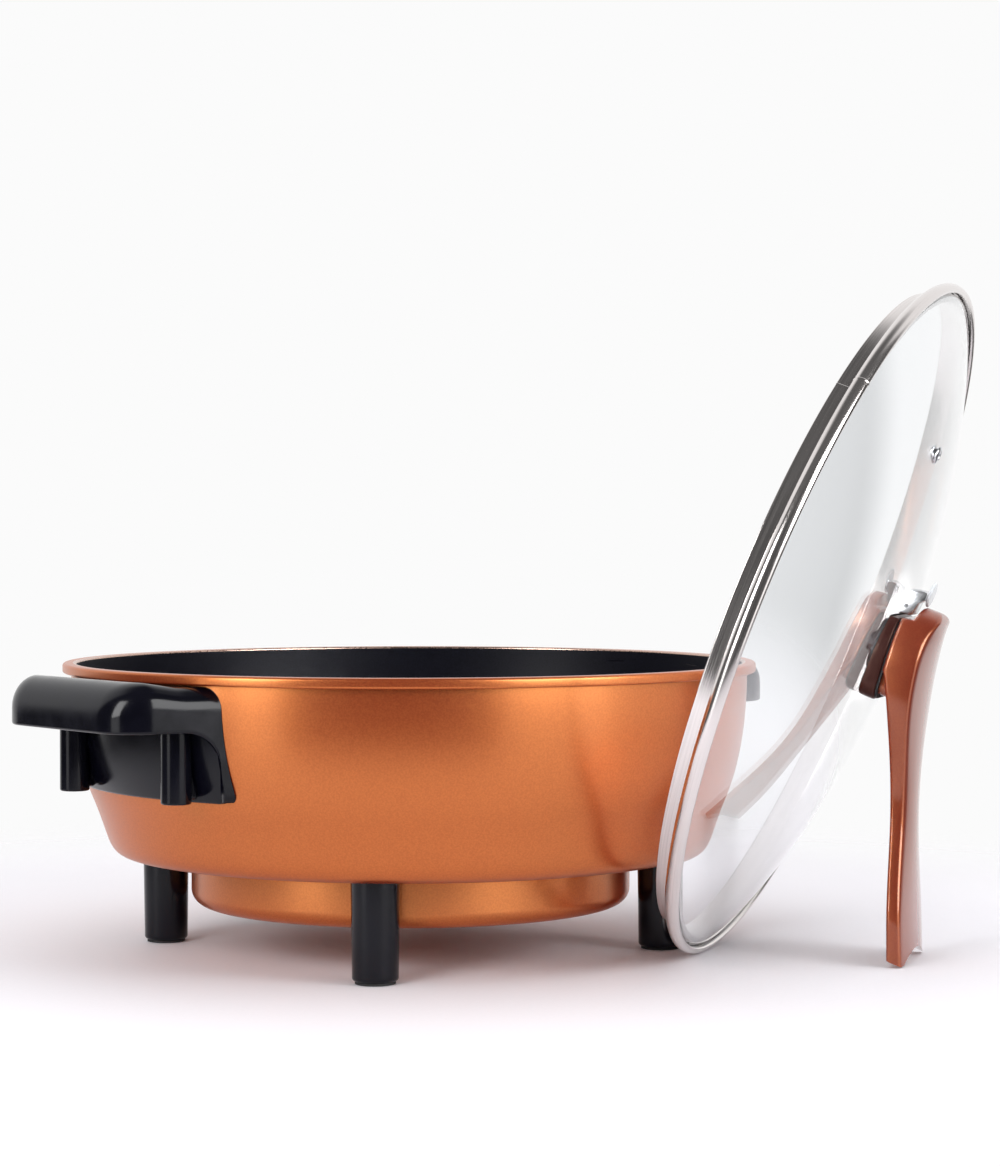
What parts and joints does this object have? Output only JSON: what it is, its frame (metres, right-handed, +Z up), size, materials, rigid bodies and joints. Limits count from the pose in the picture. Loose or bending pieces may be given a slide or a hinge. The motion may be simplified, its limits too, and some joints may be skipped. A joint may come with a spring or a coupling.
{
  "type": "electric skillet",
  "caption": "Deep round electric skillet on short legs with hooded side handles, and a loose glass lid that stands by itself on its steel rim and handle arm.",
  "frame": {"origin": "where the pan's axis meets the table that the feet stand on", "axes": "+Z up along the pan's axis, +X along the two side handles, +Y towards the electrical inlet"},
  "size_m": [0.4526, 0.4084, 0.3016],
  "materials": {
    "copper_pan": "copper metallic paint outside, black non-stick inside",
    "copper_cover": "copper metallic paint on sheet steel",
    "copper_plastic": "copper metallic paint on moulded plastic",
    "black_phenolic": "polished black phenolic moulding",
    "polished_steel": "polished stainless strip",
    "plain_steel": "bright zinc plated",
    "chrome": "mirror chrome plating",
    "lid_glass": "clear tempered glass",
    "pale_plastic": "frosted pale plastic",
    "black_rubber": "matt rubber",
    "heater": "sheathed heating tube",
    "reflector": "bright rolled sheet",
    "ceramic": "fired white ceramic",
    "mineral_felt": "pressed mineral felt"
  },
  "bodies": {
    "base": {"pan": "copper_pan", "heating_element": "heater", "terminal_pins": "plain_steel", "terminal_bushes": "ceramic", "probe_sleeve": "plain_steel", "inlet_shroud": "black_phenolic", "shroud_screws": "plain_steel", "insulation_pad": "mineral_felt", "heat_shield": "reflector", "base_cover": "copper_cover", "base_screws": "plain_steel", "leg_rear_right": "black_phenolic", "leg_rear_left": "black_phenolic", "leg_front_left": "black_phenolic", "leg_front_right": "black_phenolic", "leg_screws": "plain_steel", "foot_pads": "black_rubber", "handle_right": "black_phenolic", "handle_left": "black_phenolic", "bracket_right": "plain_steel", "bracket_left": "plain_steel", "handle_screws_right": "plain_steel", "handle_screws_left": "plain_steel"},
    "lid": {"lid_glass": "lid_glass", "lid_rim": "polished_steel", "vent_eyelet": "polished_steel", "boss_gasket": "black_rubber", "handle_boss": "copper_plastic", "seam_gasket": "black_rubber", "lid_handle": "copper_plastic", "glass_washer": "black_rubber", "clamp_plate": "plain_steel", "lid_screw": "plain_steel", "lever_pin": "plain_steel"},
    "steam_lever": {"thumb_lever": "chrome", "thumb_pad": "pale_plastic"}
  },
  "joints": [
    {"name": "lid_lift", "type": "slide", "parent": "base", "child": "lid", "axis": [0.1905, -0.306, 0.9328], "range_m": [0, 0.3]},
    {"name": "lever_press", "type": "hinge", "parent": "lid", "child": "steam_lever", "pos_m": [0.1425, -0.17984, 0.15902], "axis": [-0.849, -0.5284, 0], "range_deg": [0, 10]}
  ]
}
